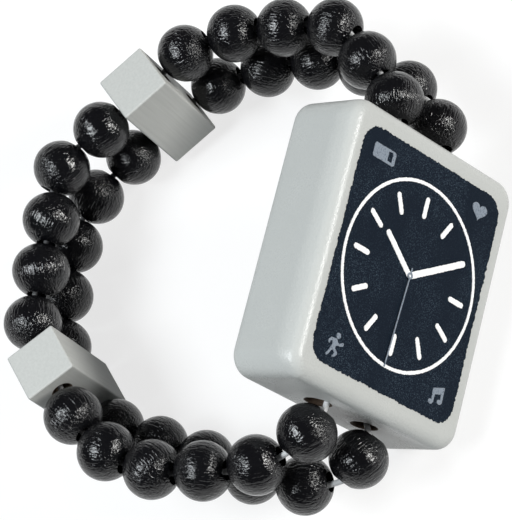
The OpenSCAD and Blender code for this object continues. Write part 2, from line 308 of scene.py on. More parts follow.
grain, specks, coat = grainGroup(), speckGroup(), coatGroup()


# materials: every size in them is in millimetres


def newMaterial(name, rough=0.5, shine=0.5):
    material = bpy.data.materials.new(name)
    material.use_nodes = True
    shader = material.node_tree.nodes["Principled BSDF"]
    shader.inputs["Roughness"].default_value = rough
    shader.inputs["Specular IOR Level"].default_value = shine
    return material, material.node_tree, shader


def woodSpace(tree):  # the piece's own millimetres, which its mesh keeps
    return addNode(tree, "ShaderNodeAttribute", attribute_name="woodSpace").outputs["Vector"]


def useGroup(tree, group, inputs):
    return addNode(tree, "ShaderNodeGroup", inputs, node_tree=group).outputs


def addBump(tree, shader, height, look):
    bump = addNode(tree, "ShaderNodeBump", {"Height": height, "Strength": look["bump"],
                                            "Distance": look["depth"] * mm})
    tree.links.new(bump.outputs[0], shader.inputs["Normal"])


beadPaint = {"dark": (0.003, 0.003, 0.004), "light": (0.005, 0.005, 0.006), "fibreWidth": 0.2,
             "fibreLength": 1.1, "patchSize": 4.0, "fleckSize": 0.3, "flecks": 0.7, "shine": 0.45,
             "smooth": 0.09, "rough": 0.17, "bump": 1.0, "depth": 0.06}
spacerPaint = {"dark": (0.487, 0.494, 0.476), "light": (0.535, 0.542, 0.523), "fibreWidth": 0.3,
               "fibreLength": 7.0, "patchSize": 6.0, "rough": 0.6, "bump": 0.25, "depth": 0.02}
# bare wood in the bores: its own brown, made darker as painted shade inside the bores
shadedBareWood = {"dark": (0.06, 0.035, 0.022), "light": (0.13, 0.085, 0.055), "fibreWidth": 0.25,
            "fibreLength": 5.0, "patchSize": 4.0, "rough": 0.75, "bump": 0.4, "depth": 0.03}


def woodMaterial(name, look):  # painted or bare wood whose grain shows
    uneven = "smooth" in look
    material, tree, shader = newMaterial(name, 0.5 if uneven else look["rough"], look.get("shine", 0.5))
    inputs = {"Vector": woodSpace(tree), "Fibre Width": look["fibreWidth"],
              "Fibre Length": look["fibreLength"], "Patch Size": look["patchSize"]}
    if "flecks" in look:
        inputs.update({"Fleck Size": look["fleckSize"], "Flecks": look["flecks"]})
    out = useGroup(tree, grain, inputs)
    tree.links.new(mixColours(tree, out["Fibres"], look["dark"], look["light"]), shader.inputs["Base Color"])
    if uneven:
        rough = spanned(tree, out["Patches"], 0.3, 1.0, look["smooth"], look["rough"])
        tree.links.new(rough, shader.inputs["Roughness"])
    addBump(tree, shader, out["Height"], look)
    return material


casePaint = {"light": (0.55, 0.562, 0.548), "shade": (0.51, 0.525, 0.51), "speck": (0.30, 0.29, 0.26),
             "speckSize": 0.45, "specks": 0.02, "dentSize": 5.0, "peelSize": 0.28, "peel": 0.9,
             "heights": (0.3, 1.5), "shine": 0.36, "smooth": 0.2, "rough": 0.42, "bump": 0.9, "depth": 0.07}


def caseMaterial(look):
    material, tree, shader = newMaterial("casePaint", shine=look["shine"])
    place = woodSpace(tree)
    height = useGroup(tree, coat, {"Vector": place, "Dent Size": look["dentSize"],
                                   "Peel Size": look["peelSize"], "Peel Share": look["peel"]})["Height"]
    dust = useGroup(tree, specks, {"Vector": place, "Speck Size": look["speckSize"],
                                   "Share": look["specks"]})
    tone = spanned(tree, height, *look["heights"], 0.0, 1.0)
    colour = mixColours(tree, tone, look["shade"], look["light"])
    colour = mixColours(tree, dust["Mask"], colour, look["speck"])
    rough = spanned(tree, height, *look["heights"], look["rough"], look["smooth"])
    tree.links.new(colour, shader.inputs["Base Color"])
    tree.links.new(rough, shader.inputs["Roughness"])
    addBump(tree, shader, height, look)
    return material


dialInk = {"base": (0.0045, 0.0095, 0.0185), "thin": (0.066, 0.096, 0.13), "speckSize": 0.11,
           "share": 0.43, "patchy": 0.85, "rough": 0.5}
whiteInk = {"base": (0.98, 0.98, 0.985), "thin": (0.86, 0.87, 0.90), "speckSize": 0.2,
            "share": 0.15, "patchy": 0.0, "rough": 0.6}
greyInk = {"base": (0.26, 0.30, 0.355), "thin": (0.09, 0.115, 0.155), "speckSize": 0.16,
           "share": 0.46, "patchy": 0.0, "rough": 0.6}
inkSurface = {"shine": 0.06, "weave": (1.0, 0.6, 1.0), "bump": 0.25, "depth": 0.02}


def inkMaterial(name, look):  # print with small specks where the ink is thin
    material, tree, shader = newMaterial(name, look["rough"], inkSurface["shine"])
    weave = calcVector(tree, "MULTIPLY", woodSpace(tree), inkSurface["weave"])
    out = useGroup(tree, specks, {"Vector": weave, "Speck Size": look["speckSize"], "Share": look["share"],
                                  "Patchiness": look["patchy"]})
    tree.links.new(mixColours(tree, out["Mask"], look["base"], look["thin"]), shader.inputs["Base Color"])
    addBump(tree, shader, out["Value"], inkSurface)
    return material


cordLook = {"light": (0.70, 0.71, 0.72), "shade": (0.50, 0.51, 0.53), "rough": 0.5}
# painted shade: a near-black elastic that stands in for the shadow between the beads
shadedCordLook = {"light": (0.16, 0.16, 0.165), "shade": (0.03, 0.03, 0.032), "rough": 0.6}
cordSurface = {"rib": 0.28, "ribShare": 0.5, "speckSize": 0.15, "share": 0.4, "bump": 0.5, "depth": 0.05}


def cordMaterial(name, look):  # round elastic with fine ribs across it
    material, tree, shader = newMaterial(name, look["rough"])
    along = addNode(tree, "ShaderNodeAttribute", attribute_name="alongCord").outputs["Fac"]
    wave = calc(tree, "SINE", calc(tree, "MULTIPLY", along, math.tau / cordSurface["rib"]))
    place = addNode(tree, "ShaderNodeTexCoord").outputs["Object"]
    out = useGroup(tree, specks, {"Vector": calcVector(tree, "SCALE", place, scale=1000.0),
                                  "Speck Size": cordSurface["speckSize"], "Share": cordSurface["share"]})
    height = calc(tree, "MULTIPLY_ADD", wave, cordSurface["ribShare"], out["Value"])
    tree.links.new(mixColours(tree, out["Mask"], look["light"], look["shade"]), shader.inputs["Base Color"])
    addBump(tree, shader, height, cordSurface)
    return material


# floor: white to the camera and in reflections, and a grey that bounces little light on the object
floorLook = {"half": 3.0, "height": -0.06, "seen": (0.95, 0.95, 0.95), "bounce": (0.4, 0.4, 0.4),
             "white": 0.7, "glow": 1.08}  # half in metres, height in mm


def floorMaterial(look):
    material, tree, shader = newMaterial("paleFloor", 0.9, 0.0)
    light = addNode(tree, "ShaderNodeLightPath").outputs
    seen = calc(tree, "MAXIMUM", calc(tree, "MAXIMUM", light["Is Camera Ray"], light["Is Glossy Ray"]),
                light["Is Transmission Ray"])
    tree.links.new(mixColours(tree, seen, look["bounce"], look["seen"]), shader.inputs["Base Color"])
    white = addNode(tree, "ShaderNodeEmission", {"Color": (1, 1, 1, 1), "Strength": look["glow"]})
    both = addNode(tree, "ShaderNodeMixShader", {0: calc(tree, "MULTIPLY", seen, look["white"]),
                                                 1: shader.outputs[0], 2: white.outputs[0]})
    tree.links.new(both.outputs[0], tree.nodes["Material Output"].inputs["Surface"])
    return material


def makeFloor(look):
    half, z = look["half"], look["height"] * mm
    mesh = bpy.data.meshes.new("floor")
    corners = [(-half, -half, z), (half, -half, z), (half, half, z), (-half, half, z)]
    mesh.from_pydata(corners, [], [(0, 1, 2, 3)])
    mesh.materials.append(floorMaterial(look))
    floor = newObject("floor", mesh)


paints = {
    "bead": woodMaterial("beadPaint", beadPaint),
    "case": caseMaterial(casePaint),
    "spacer": woodMaterial("spacerPaint", spacerPaint),
    "bare": woodMaterial("shadedBareWood", shadedBareWood),
    "cord": cordMaterial("elasticCord", cordLook),
    "cordShade": cordMaterial("cordPaintedShade", shadedCordLook),  # painted shade: the elastic darkened where it lies in shadow between the beads
    "dial": inkMaterial("dialInk", dialInk),
    "white": inkMaterial("whiteInk", whiteInk),
    "grey": inkMaterial("greyInk", greyInk),
}
print("materials made:", len(paints))


# pieces: what their makers share


def settle(piece):  # turn what the modifiers make into the piece's own mesh
    graph = bpy.context.evaluated_depsgraph_get()
    made = piece.evaluated_get(graph)
    mesh = bpy.data.meshes.new_from_object(made, preserve_all_data_layers=True, depsgraph=graph)
    piece.modifiers.clear()
    piece.data = mesh


def outward(mesh):
    work = bmesh.new()
    work.from_mesh(mesh)
    bmesh.ops.recalc_face_normals(work, faces=work.faces)
    work.to_mesh(mesh)
    work.free()


def endTree(tree, geometry, paint, end):  # real geometry in its paint is what the tree gives
    real = addNode(tree, "GeometryNodeRealizeInstances", {"Geometry": geometry})
    painted = addNode(tree, "GeometryNodeSetMaterial", {"Geometry": real.outputs[0], "Material": paint})
    tree.links.new(painted.outputs[0], end[0])


def storeVector(tree, geometry, name, value):
    return addNode(tree, "GeometryNodeStoreNamedAttribute",
                   {"Geometry": geometry, "Name": name, "Value": value},
                   data_type="FLOAT_VECTOR", domain="POINT").outputs[0]


def growPiece(name, tree, inputs):  # one piece from a Geometry Nodes tree
    piece = newObject(name, bpy.data.meshes.new(name))
    maker = piece.modifiers.new("maker", "NODES")
    maker.node_group = tree
    for item in tree.interface.items_tree:
        if item.item_type == "SOCKET" and item.in_out == "INPUT" and item.name in inputs:
            maker[item.identifier] = inputs[item.name]
    settle(piece)
    paint = next(m for m in piece.data.materials if m)
    piece.data.materials.clear()
    piece.data.materials.append(paint)
    piece.data.polygons.foreach_set("material_index", [0] * len(piece.data.polygons))
    outward(piece.data)
    return piece


def drawLines(name, lines, closed=False):  # a guide with straight stretches, from (place, radius) points
    data = bpy.data.curves.new(name, "CURVE")
    data.dimensions = "3D"
    for line in lines:
        spline = data.splines.new("POLY")
        spline.points.add(len(line) - 1)
        for point, (place, radius) in zip(spline.points, line):
            point.co, point.radius = (*place, 1), radius
        spline.use_cyclic_u = closed
    return newObject(name, data)


def skinRings(work, rings):  # faces from ring to ring, and one at each end
    count = len(rings[0])
    for low, high in zip(rings, rings[1:]):
        for k in range(count):
            m = (k + 1) % count
            work.faces.new((low[k], low[m], high[m], high[k]))
    work.faces.new(rings[0][::-1])
    work.faces.new(rings[-1])
    bmesh.ops.recalc_face_normals(work, faces=work.faces)


def smoothMesh(work, name, paint):
    for face in work.faces:
        face.smooth = True
    mesh = bpy.data.meshes.new(name)
    work.to_mesh(mesh)
    work.free()
    mesh.materials.append(paint)
    return mesh


def lathe(profile, sides, axis, centre):  # turned solid about X or Y, from (radius, along) points
    work = bmesh.new()
    rings = []
    for radius, along in profile:
        ring = []
        for k in range(sides):
            a = math.tau * k / sides
            x, y = radius * math.cos(a), radius * math.sin(a)
            spot = (x, along, y) if axis == "Y" else (along, x, y)
            ring.append(work.verts.new(Vector(spot) + Vector(centre)))
        rings.append(ring)
    skinRings(work, rings)
    return work


def boreProfile(half, look):  # a bore with softened mouths at both ends, 1 mm past them
    radius, lip, steps = look["bore"], look["lip"], 6
    right = []
    for k in range(steps + 1):
        b = math.pi / 2 * k / steps
        right.append((radius + lip * (1 - math.cos(b)), half - lip + lip * math.sin(b)))
    right.append((right[-1][0], half + 1))
    return [(r, -a) for r, a in reversed(right)] + right


def drillBlock(name, mesh, bores, place):  # bores: turned solids to take away
    piece = newObject(name, mesh)
    work = bmesh.new()
    for bore in bores:
        part = bpy.data.meshes.new("bore")
        bore.to_mesh(part)
        bore.free()
        work.from_mesh(part)
    # the bores' walls get the bare wood, whose dark tone is partly painted shade
    cutter = newObject("bores", smoothMesh(work, "bores", paints["bare"]))
    cut = piece.modifiers.new("bores", "BOOLEAN")
    cut.object, cut.operation, cut.solver, cut.material_mode = cutter, "DIFFERENCE", "EXACT", "TRANSFER"
    even = piece.modifiers.new("even", "WEIGHTED_NORMAL")
    even.keep_sharp = True
    settle(piece)
    bpy.data.objects.remove(cutter)
    spot = piece.data.attributes.new("woodSpace", "FLOAT_VECTOR", "POINT")
    spot.data.foreach_set("vector", [c for v in piece.data.vertices for c in v.co])
    piece.data.transform(place)
    return piece


def cornerAngles(steps):  # the way that a rounded rectangle faces, along its outline
    return [math.radians(90 * q + 90 * k / steps) for q in range(4) for k in range(steps + 1)]


def roundedLoop(halfX, halfY, radius, steps):
    corners = ((1, 1), (-1, 1), (-1, -1), (1, -1))
    points = []
    for n, a in enumerate(cornerAngles(steps)):
        cx, cy = corners[n // (steps + 1)]
        points.append((cx * (halfX - radius) + radius * math.cos(a),
                       cy * (halfY - radius) + radius * math.sin(a)))
    return points


# case
caseShape = {"corner": 3.2, "edge": 1.8, "softRadius": 8.0, "softAngle": 18, "edgeSteps": 16,
             "cornerSteps": 14, "bore": 1.6, "boreSides": 64, "lip": 0.3}


def caseRing(look, face, t):  # the block's outline where its edge has turned by t
    halfX, halfY, halfZ = caseHalf
    turn, edge = math.radians(look["softAngle"]), look["edge"]
    first, rest = min(t, turn), max(t, turn)
    outline = roundedLoop(halfX, halfY, look["corner"], look["cornerSteps"])
    ring = []
    for (x, y), a in zip(outline, cornerAngles(look["cornerSteps"])):
        side = max(0.0, -math.cos(a)) ** 2 if face > 0 else 0.0  # the dial's 9 o'clock edge falls off slowly
        soft = edge + (look["softRadius"] - edge) * side
        inset = soft * (1 - math.cos(first)) + edge * (math.cos(turn) - math.cos(rest))
        depth = soft * (math.sin(turn) - math.sin(first)) + edge * (1 - math.sin(rest))
        ring.append((x - inset * math.cos(a), y - inset * math.sin(a), face * (halfZ - depth)))
    return ring


def makeCase(look):
    work = bmesh.new()
    steps = look["edgeSteps"]
    rings = []
    for face in (-1, 1):
        for k in range(steps + 1):
            t = math.pi / 2 * (k if face > 0 else steps - k) / steps
            rings.append([work.verts.new(p) for p in caseRing(look, face, t)])
    skinRings(work, rings)
    profile = boreProfile(caseHalf[1], look)
    bores = [lathe(profile, look["boreSides"], "Y", (x * rowPitch() / 2, 0, 0)) for x in (-1, 1)]
    piece = drillBlock("caseBlock", smoothMesh(work, "caseBlock", paints["case"]), bores, casePlace)
    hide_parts("case")
    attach(piece, "case")
    print("case made:", len(piece.data.polygons), "faces")


# spacers
spacerShape = {"bevel": 0.28, "bevelSteps": 4, "bore": 1.35, "boreSides": 48, "lip": 0.15}


def makeSpacer(name, look):
    half = spacerHalf(name)
    work = bmesh.new()
    bmesh.ops.create_cube(work, size=2.0)
    for v in work.verts:
        v.co = Vector((v.co[k] * half[k] for k in range(3)))
    bmesh.ops.bevel(work, geom=list(work.edges), offset=look["bevel"], segments=look["bevelSteps"],
                    profile=0.5, affect="EDGES")
    profile = boreProfile(half[0], look)
    bores = [lathe(profile, look["boreSides"], "X", (0, 0, z * rowPitch() / 2)) for z in (-1, 1)]
    pieceName = "spacerSix" if name == "spacer_six" else "spacerTwelve"
    piece = drillBlock(pieceName, smoothMesh(work, name, paints["spacer"]), bores, placement(*spacers[name]))
    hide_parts(name)
    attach(piece, "band_back")
    print(pieceName, "made, half sizes", half.round(2))


# beads
beadShape = {"shrink": 0.01, "bore": 1.35, "lip": 0.08, "sides": 80, "arcPoints": 36, "lipSteps": 5,
             "wallSteps": 8, "lump": 0.012, "lumpSize": 2.2, "seed": 7, "baseSeed": 20}


def beadOutline(radius, half, look):  # closed outline of half a bead's section, (distance from axis, along)
    bore, lip, count = look["bore"], look["lip"], look["arcPoints"]
    last = math.acos((bore + lip) / radius)
    turns = [-last + 2 * last * k / count for k in range(count + 1)]
    arc = [(radius * math.cos(a), half * math.sin(a)) for a in turns]
    edge, top = arc[-1]
    lipPoints = []
    for k in range(1, look["lipSteps"] + 1):  # a soft turn from the outside into the bore
        s = k / look["lipSteps"]
        lipPoints.append((edge * (1 - s) ** 2 + bore * (1 - (1 - s) ** 2),
                          top * (1 - s ** 2) + (top - lip) * s ** 2))
    wall = [(bore, (top - lip) * (1 - 2 * k / look["wallSteps"])) for k in range(1, look["wallSteps"])]
    return arc + lipPoints + wall + [(r, -z) for r, z in reversed(lipPoints)]


def beadTree():
    tree, start, end = newGroup("turnedBead", "GeometryNodeTree",
                                [("Outline", "Object"), ("Outline Points", "Int", 4), ("Sides", "Int", 32),
                                 ("Grain Turn", "Vector"), ("Lump", "Float"), ("Lump Size", "Float", 1.0),
                                 ("Seed", "Int"), ("Paint", "Material")],
                                [("Geometry", "Geometry")])
    here = addNode(tree, "GeometryNodeInputPosition").outputs[0]
    columns, turns = (calc(tree, "ADD", start[label], 1.0) for label in ("Outline Points", "Sides"))
    grid = addNode(tree, "GeometryNodeMeshGrid",
                   {"Size X": 1.0, "Size Y": 1.0, "Vertices X": columns, "Vertices Y": turns})
    spot = addNode(tree, "ShaderNodeSeparateXYZ", {0: here}).outputs
    share = calc(tree, "ADD", spot[0], 0.5)
    step = calc(tree, "ROUND", calc(tree, "MULTIPLY", share, start["Outline Points"]))
    step = calc(tree, "MODULO", step, start["Outline Points"])
    outline = addNode(tree, "GeometryNodeObjectInfo", {"Object": start["Outline"]}).outputs["Geometry"]
    point = addNode(tree, "GeometryNodeSampleIndex", {"Geometry": outline, "Value": here, "Index": step},
                    data_type="FLOAT_VECTOR").outputs[0]
    point = addNode(tree, "ShaderNodeSeparateXYZ", {0: point}).outputs
    angle = calc(tree, "MULTIPLY", calc(tree, "ADD", spot[1], 0.5), math.tau)
    around = vectorOf(tree, calc(tree, "MULTIPLY", point[0], calc(tree, "COSINE", angle)),
                      calc(tree, "MULTIPLY", point[0], calc(tree, "SINE", angle)), point[2])
    turned = addNode(tree, "GeometryNodeSetPosition", {"Geometry": grid.outputs["Mesh"], "Position": around})
    closed = addNode(tree, "GeometryNodeMergeByDistance", {"Geometry": turned.outputs[0], "Distance": 0.001})
    shift = vectorOf(tree, calc(tree, "MULTIPLY", start["Seed"], 13.7),  # another place in the wood for each
                     calc(tree, "MULTIPLY", start["Seed"], 5.3))
    lumps = noise(tree, calcVector(tree, "ADD", here, shift), start["Lump Size"])
    push = calc(tree, "MULTIPLY", calc(tree, "SUBTRACT", lumps, 0.5), start["Lump"])
    lumpy = addNode(tree, "GeometryNodeSetPosition",
                    {"Geometry": closed.outputs[0],
                     "Offset": calcVector(tree, "SCALE", calcVector(tree, "NORMALIZE", here), scale=push)})
    grainHere = addNode(tree, "ShaderNodeVectorRotate", {"Vector": here, "Rotation": start["Grain Turn"]},
                        rotation_type="EULER_XYZ").outputs[0]
    kept = storeVector(tree, lumpy.outputs[0], "woodSpace", calcVector(tree, "ADD", grainHere, shift))
    smooth = addNode(tree, "GeometryNodeSetShadeSmooth", {"Geometry": kept})
    endTree(tree, smooth.outputs[0], start["Paint"], end)
    return tree


def makeBeads(look):
    centre, way = rows["top"][3]
    high = nodeSpan("bead_top_4", centre, upright(way))[1]
    radius = high[0] - look["shrink"]
    half = high[2] / math.sqrt(1 - (look["bore"] / high[0]) ** 2) - look["shrink"]
    outline = beadOutline(radius, half, look)
    mesh = bpy.data.meshes.new("beadOutline")
    mesh.from_pydata([(r, 0, z) for r, z in outline], [], [])
    guide = newObject("beadOutline", mesh)
    tree = beadTree()
    rand = random.Random(look["seed"])
    for word, row in rows.items():
        for i, (centre, way) in enumerate(row, 1):
            node = f"bead_{word}_{i}"
            turn = (rand.uniform(-0.5, 0.5), rand.uniform(-0.5, 0.5), rand.uniform(0, math.tau))
            piece = growPiece(f"bead{word.capitalize()}{i}", tree,
                              {"Outline": guide, "Outline Points": len(outline), "Sides": look["sides"],
                               "Grain Turn": turn, "Lump": look["lump"], "Lump Size": look["lumpSize"],
                               "Seed": i + (look["baseSeed"] if word == "base" else 0),
                               "Paint": paints["bead"]})
            piece.data.transform(placement(centre, upright(way)))
            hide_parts(node)
            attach(piece, node)
    bpy.data.objects.remove(guide)
    print("beads made: 34, radius", round(radius, 3), "half length", round(half, 3))


# dial: each print is an outline that is filled and raised, with slightly ragged edges
dialPrint = {"layer": 0.08, "rag": 0.34, "ragSize": 0.42, "fineRag": 0.1, "fineSize": 0.25,
             "signRag": 0.04, "signSize": 0.2, "thinRag": 0.02, "thinSize": 0.15, "step": 0.07,
             "panelCorner": 2.8, "panelSteps": 16, "ringLine": 0.45, "ringSteps": 240, "marks": 12,
             "markLength": 3.0, "markWidth": 0.72, "handTail": 0.2, "hourWidth": 0.82, "minuteWidth": 0.88,
             "hourAngle": 305, "minuteAngle": 60, "secondAngle": 183, "secondWidth": 0.2, "secondTail": 1.1,
             "hub": 0.34, "hubLine": 0.14, "hubSteps": 40}
printInputs = [("Step", "Float", 0.1), ("Rag", "Float", 0.05), ("Rag Size", "Float", 0.3), ("Base", "Float"),
               ("Thickness", "Float", 0.08), ("Seed", "Int"), ("Ink", "Material")]


def raiseGroup():
    tree, start, end = newGroup("raiseInk", "GeometryNodeTree", [("Outlines", "Geometry")] + printInputs,
                                [("Geometry", "Geometry")])
    here = addNode(tree, "GeometryNodeInputPosition").outputs[0]
    fine = addNode(tree, "GeometryNodeResampleCurve", {"Curve": start["Outlines"], "Length": start["Step"]},
                   mode="LENGTH")
    spot = calcVector(tree, "ADD", here, vectorOf(tree, z=start["Seed"]))
    uneven = noiseNode(tree, spot, start["Rag Size"], 2.0).outputs[1]
    push = calcVector(tree, "SUBTRACT", uneven, (0.5, 0.5, 0.5))
    push = calcVector(tree, "MULTIPLY", push, (2.0, 2.0, 0.0))
    push = calcVector(tree, "SCALE", push, scale=start["Rag"])
    ragged = addNode(tree, "GeometryNodeSetPosition", {"Geometry": fine.outputs[0], "Offset": push})
    filled = addNode(tree, "GeometryNodeFillCurve", {"Curve": ragged.outputs[0]}, mode="TRIANGLES")
    placed = addNode(tree, "GeometryNodeSetPosition", {"Geometry": filled.outputs[0],
                                                       "Offset": vectorOf(tree, z=start["Base"])})
    raised = addNode(tree, "GeometryNodeExtrudeMesh",
                     {"Mesh": placed.outputs[0], "Offset": vectorOf(tree, z=start["Thickness"]),
                      "Offset Scale": 1.0, "Individual": False}, mode="FACES")
    under = addNode(tree, "GeometryNodeFlipFaces", {"Mesh": placed.outputs[0]})
    joined = addNode(tree, "GeometryNodeJoinGeometry")
    tree.links.new(raised.outputs["Mesh"], joined.inputs[0])
    tree.links.new(under.outputs["Mesh"], joined.inputs[0])
    closed = addNode(tree, "GeometryNodeMergeByDistance", {"Geometry": joined.outputs[0], "Distance": 0.0005})
    endTree(tree, storeVector(tree, closed.outputs[0], "woodSpace", here), start["Ink"], end)
    return tree


def inkTree(raiser, repeats):  # one print, or one outline repeated round the dial
    tree, start, end = newGroup("hourMarks" if repeats else "dialPrint", "GeometryNodeTree",
                                [("Drawing", "Object"), ("Count", "Int", 12)] + printInputs,
                                [("Geometry", "Geometry")])
    drawing = addNode(tree, "GeometryNodeObjectInfo", {"Object": start["Drawing"]}).outputs["Geometry"]
    if repeats:
        spots = addNode(tree, "GeometryNodeMeshLine", {"Count": start["Count"], "Offset": (0.0, 0.0, 0.0)})
        index = addNode(tree, "GeometryNodeInputIndex").outputs[0]
        turn = calc(tree, "DIVIDE", calc(tree, "MULTIPLY", index, -math.tau), start["Count"])
        copies = addNode(tree, "GeometryNodeInstanceOnPoints",
                         {"Points": spots.outputs[0], "Instance": drawing,
                          "Rotation": vectorOf(tree, z=turn)})
        drawing = addNode(tree, "GeometryNodeRealizeInstances", {"Geometry": copies.outputs[0]}).outputs[0]
    inputs = {item[0]: start[item[0]] for item in printInputs}
    raised = addNode(tree, "GeometryNodeGroup", {"Outlines": drawing, **inputs}, node_tree=raiser)
    endTree(tree, raised.outputs[0], start["Ink"], end)
    return tree


def circleOutline(radius, steps, centre=(0, 0)):
    turns = [math.tau * k / steps for k in range(steps)]
    return [(centre[0] + radius * math.cos(a), centre[1] + radius * math.sin(a)) for a in turns]


def turnOutline(points, angle):  # clockwise from 12 o'clock
    c, s = math.cos(math.radians(angle)), math.sin(math.radians(angle))
    return [(x * c + y * s, -x * s + y * c) for x, y in points]


def pillOutline(start, stop, width, angle=0.0, steps=10):  # a bar with round ends, up the dial, then turned
    r = width / 2
    turns = [math.pi * k / steps for k in range(steps + 1)]
    points = [(r * math.cos(a), stop - r + r * math.sin(a)) for a in turns]
    points += [(-r * math.cos(a), start + r - r * math.sin(a)) for a in turns]
    return turnOutline(points, angle)


def batteryDrawing():
    half, height = 1.3, 0.98  # past this half width the end bulges
    body = [(x + (0.3 * math.sqrt(1 - min(1, (y / height) ** 2)) if x > half else 0), y)
            for x, y in roundedLoop(1.98, height, 0.3, 5)]
    window = [(1.2 + x, 0.06 + y) for x, y in roundedLoop(0.42, 0.66, 0.08, 3)]
    return [body, window]


def heartDrawing():
    points, steps = [], 48
    for k in range(steps):
        a = math.tau * k / steps
        y = 13 * math.cos(a) - 5 * math.cos(2 * a) - 2 * math.cos(3 * a) - math.cos(4 * a)
        points.append((1.5 * math.sin(a) ** 3, y / 12.5 + 0.2))
    return [points]


def runnerDrawing():
    head = circleOutline(0.40, 20, (0.12, 1.28))
    body = [(0.02, 0.82), (-0.29, 0.83), (-1.02, 0.76), (-1.42, 0.32), (-1.36, -0.09), (-1.12, -0.10),
            (-1.08, 0.24), (-0.74, 0.40), (-0.60, 0.0), (-0.82, -0.56), (-1.16, -1.22), (-1.46, -1.60),
            (-1.25, -1.74), (-0.93, -1.48), (-0.58, -0.86), (-0.33, -0.70), (0.12, -1.0), (-0.22, -1.38),
            (-0.20, -1.62), (0.14, -1.56), (0.58, -1.08), (0.50, -0.78), (0.0, -0.44), (0.04, -0.05),
            (0.42, 0.05), (0.88, 0.10), (1.26, 0.26), (1.38, 0.56), (1.16, 0.72), (0.84, 0.50), (0.55, 0.34),
            (0.28, 0.46), (0.14, 0.66)]
    return [head, body]


def notesDrawing():  # one outline round both notes' heads and the beam that joins their stems
    turns = [-math.radians(15 + 20 * k) for k in range(16)]
    right, left = ([(cx + 0.44 * math.cos(a), cy + 0.34 * math.sin(a)) for a in turns]
                   for cx, cy in ((0.68, -0.62), (-0.98, -1.04)))
    return [[(-0.99, 0.80), (1.16, 1.52), (1.20, -0.55)] + right
            + [(0.80, -0.20), (0.72, 0.42), (-0.42, 0.12), (-0.46, -1.0)] + left + [(-0.86, -0.66)]]


pictograms = {
    "batterySign": (batteryDrawing(), (-9.75, 13.0)),
    "heartSign": (heartDrawing(), (9.85, 12.95)),
    "runnerSign": (runnerDrawing(), (-9.8, -13.2)),
    "notesSign": (notesDrawing(), (10.2, -12.8)),
}


def secondHand(look, tip):
    hub, line, half = look["hub"], look["hubLine"], look["secondWidth"] / 2
    bars = [turnOutline([(-half, low), (half, low), (half, high), (-half, high)], look["secondAngle"])
            for low, high in ((hub + line, tip), (-look["secondTail"], -hub - line))]
    return bars + [circleOutline(r, look["hubSteps"]) for r in (hub + line * 0.95, hub - line)]


def nodeReach(name):  # farthest that a print goes from the dial's middle
    flat = nodePoints(name, caseCentre, caseAxes)
    return np.hypot(flat[:, 0], flat[:, 1]).max()


def makeDial(look):
    raiser = raiseGroup()
    single, repeated = inkTree(raiser, False), inkTree(raiser, True)
    panel, ring, mark = (nodeSpan(name, caseCentre, caseAxes)[1]
                         for name in ("dial_panel", "dial_ring", "hour_marks"))
    ring, mark = ring[0], mark[1]
    hourTip, minuteTip, secondTip = (nodeReach(name) for name in ("hour_hand", "minute_hand", "second_hand"))
    inset = look["rag"] / 5
    panelLine = roundedLoop(panel[0] - inset, panel[1] - inset, look["panelCorner"], look["panelSteps"])
    rings = [circleOutline(r, look["ringSteps"]) for r in (ring, ring - look["ringLine"])]
    oneMark = pillOutline(mark - look["markLength"], mark, look["markWidth"])
    hourLine = pillOutline(-look["handTail"], hourTip, look["hourWidth"], look["hourAngle"])
    minuteLine = pillOutline(-look["handTail"], minuteTip, look["minuteWidth"], look["minuteAngle"])
    prints = [  # piece, node that it replaces, outlines, layer, ink, edge
        ("dialPanel", "dial_panel", [panelLine], 0, "dial", "rag"),
        ("dialRing", "dial_ring", rings, 1, "white", "fine"),
        ("hourMarks", "hour_marks", [oneMark], 1, "white", "fine"),
        ("hourHand", "hour_hand", [hourLine], 1, "white", "fine"),
        ("minuteHand", "minute_hand", [minuteLine], 2, "white", "fine"),
        ("secondHand", "second_hand", secondHand(look, secondTip), 3, "grey", "thin"),
    ]
    for name, (drawing, (dx, dy)) in pictograms.items():
        prints.append((name, None, [[(dx + x, dy + y) for x, y in o] for o in drawing], 1, "grey", "sign"))
    edges = {"rag": (look["rag"], look["ragSize"]), "fine": (look["fineRag"], look["fineSize"]),
             "thin": (look["thinRag"], look["thinSize"]), "sign": (look["signRag"], look["signSize"])}
    for name, node, outlines, layer, ink, edge in prints:
        guide = drawLines(name + "Drawing", [[((x, y, 0), 1.0) for x, y in o] for o in outlines], True)
        rag, ragSize = edges[edge]
        piece = growPiece(name, repeated if name == "hourMarks" else single,
                          {"Drawing": guide, "Count": look["marks"], "Step": look["step"], "Rag": rag,
                           "Rag Size": ragSize, "Base": caseHalf[2] + layer * look["layer"],
                           "Thickness": look["layer"], "Seed": len(name), "Ink": paints[ink]})
        bpy.data.objects.remove(guide)
        piece.data.transform(casePlace)
        if node:
            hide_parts(node)
        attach(piece, "case")
    print("dial made: panel half", panel.round(2), "ring", round(ring, 2), "marks to", round(mark, 2))


# elastic: one loop for each row, in pieces; those on one body follow it, those between two bodies stay in place
elasticShape = {
    "diameter": 0.8, "sides": 16, "steps": 12,
    "bore": 2.7, "stand": 0.9,  # a bead's bore, and the share of its room that the elastic's bend takes
    "hold": 0.6,  # share of a spacer's half length where the elastic runs straight
    "caseHold": 5.0, "caseJoint": 1.0,  # how deep in the case it starts to bend, and changes its piece
    "mouth": 4.3,  # from the first bead's middle to where the elastic follows the band in full
    "knot": 2.2, "knotLength": 4.0,
    "knotForm": [(-1, 0), (-0.92, 0.4), (-0.8, 0.85), (-0.6, 1), (-0.42, 0.8), (-0.25, 0.62), (-0.1, 0.9),
                 (0.1, 0.9), (0.25, 0.62), (0.42, 0.8), (0.6, 1), (0.8, 0.85), (0.92, 0.4), (1, 0)],
}


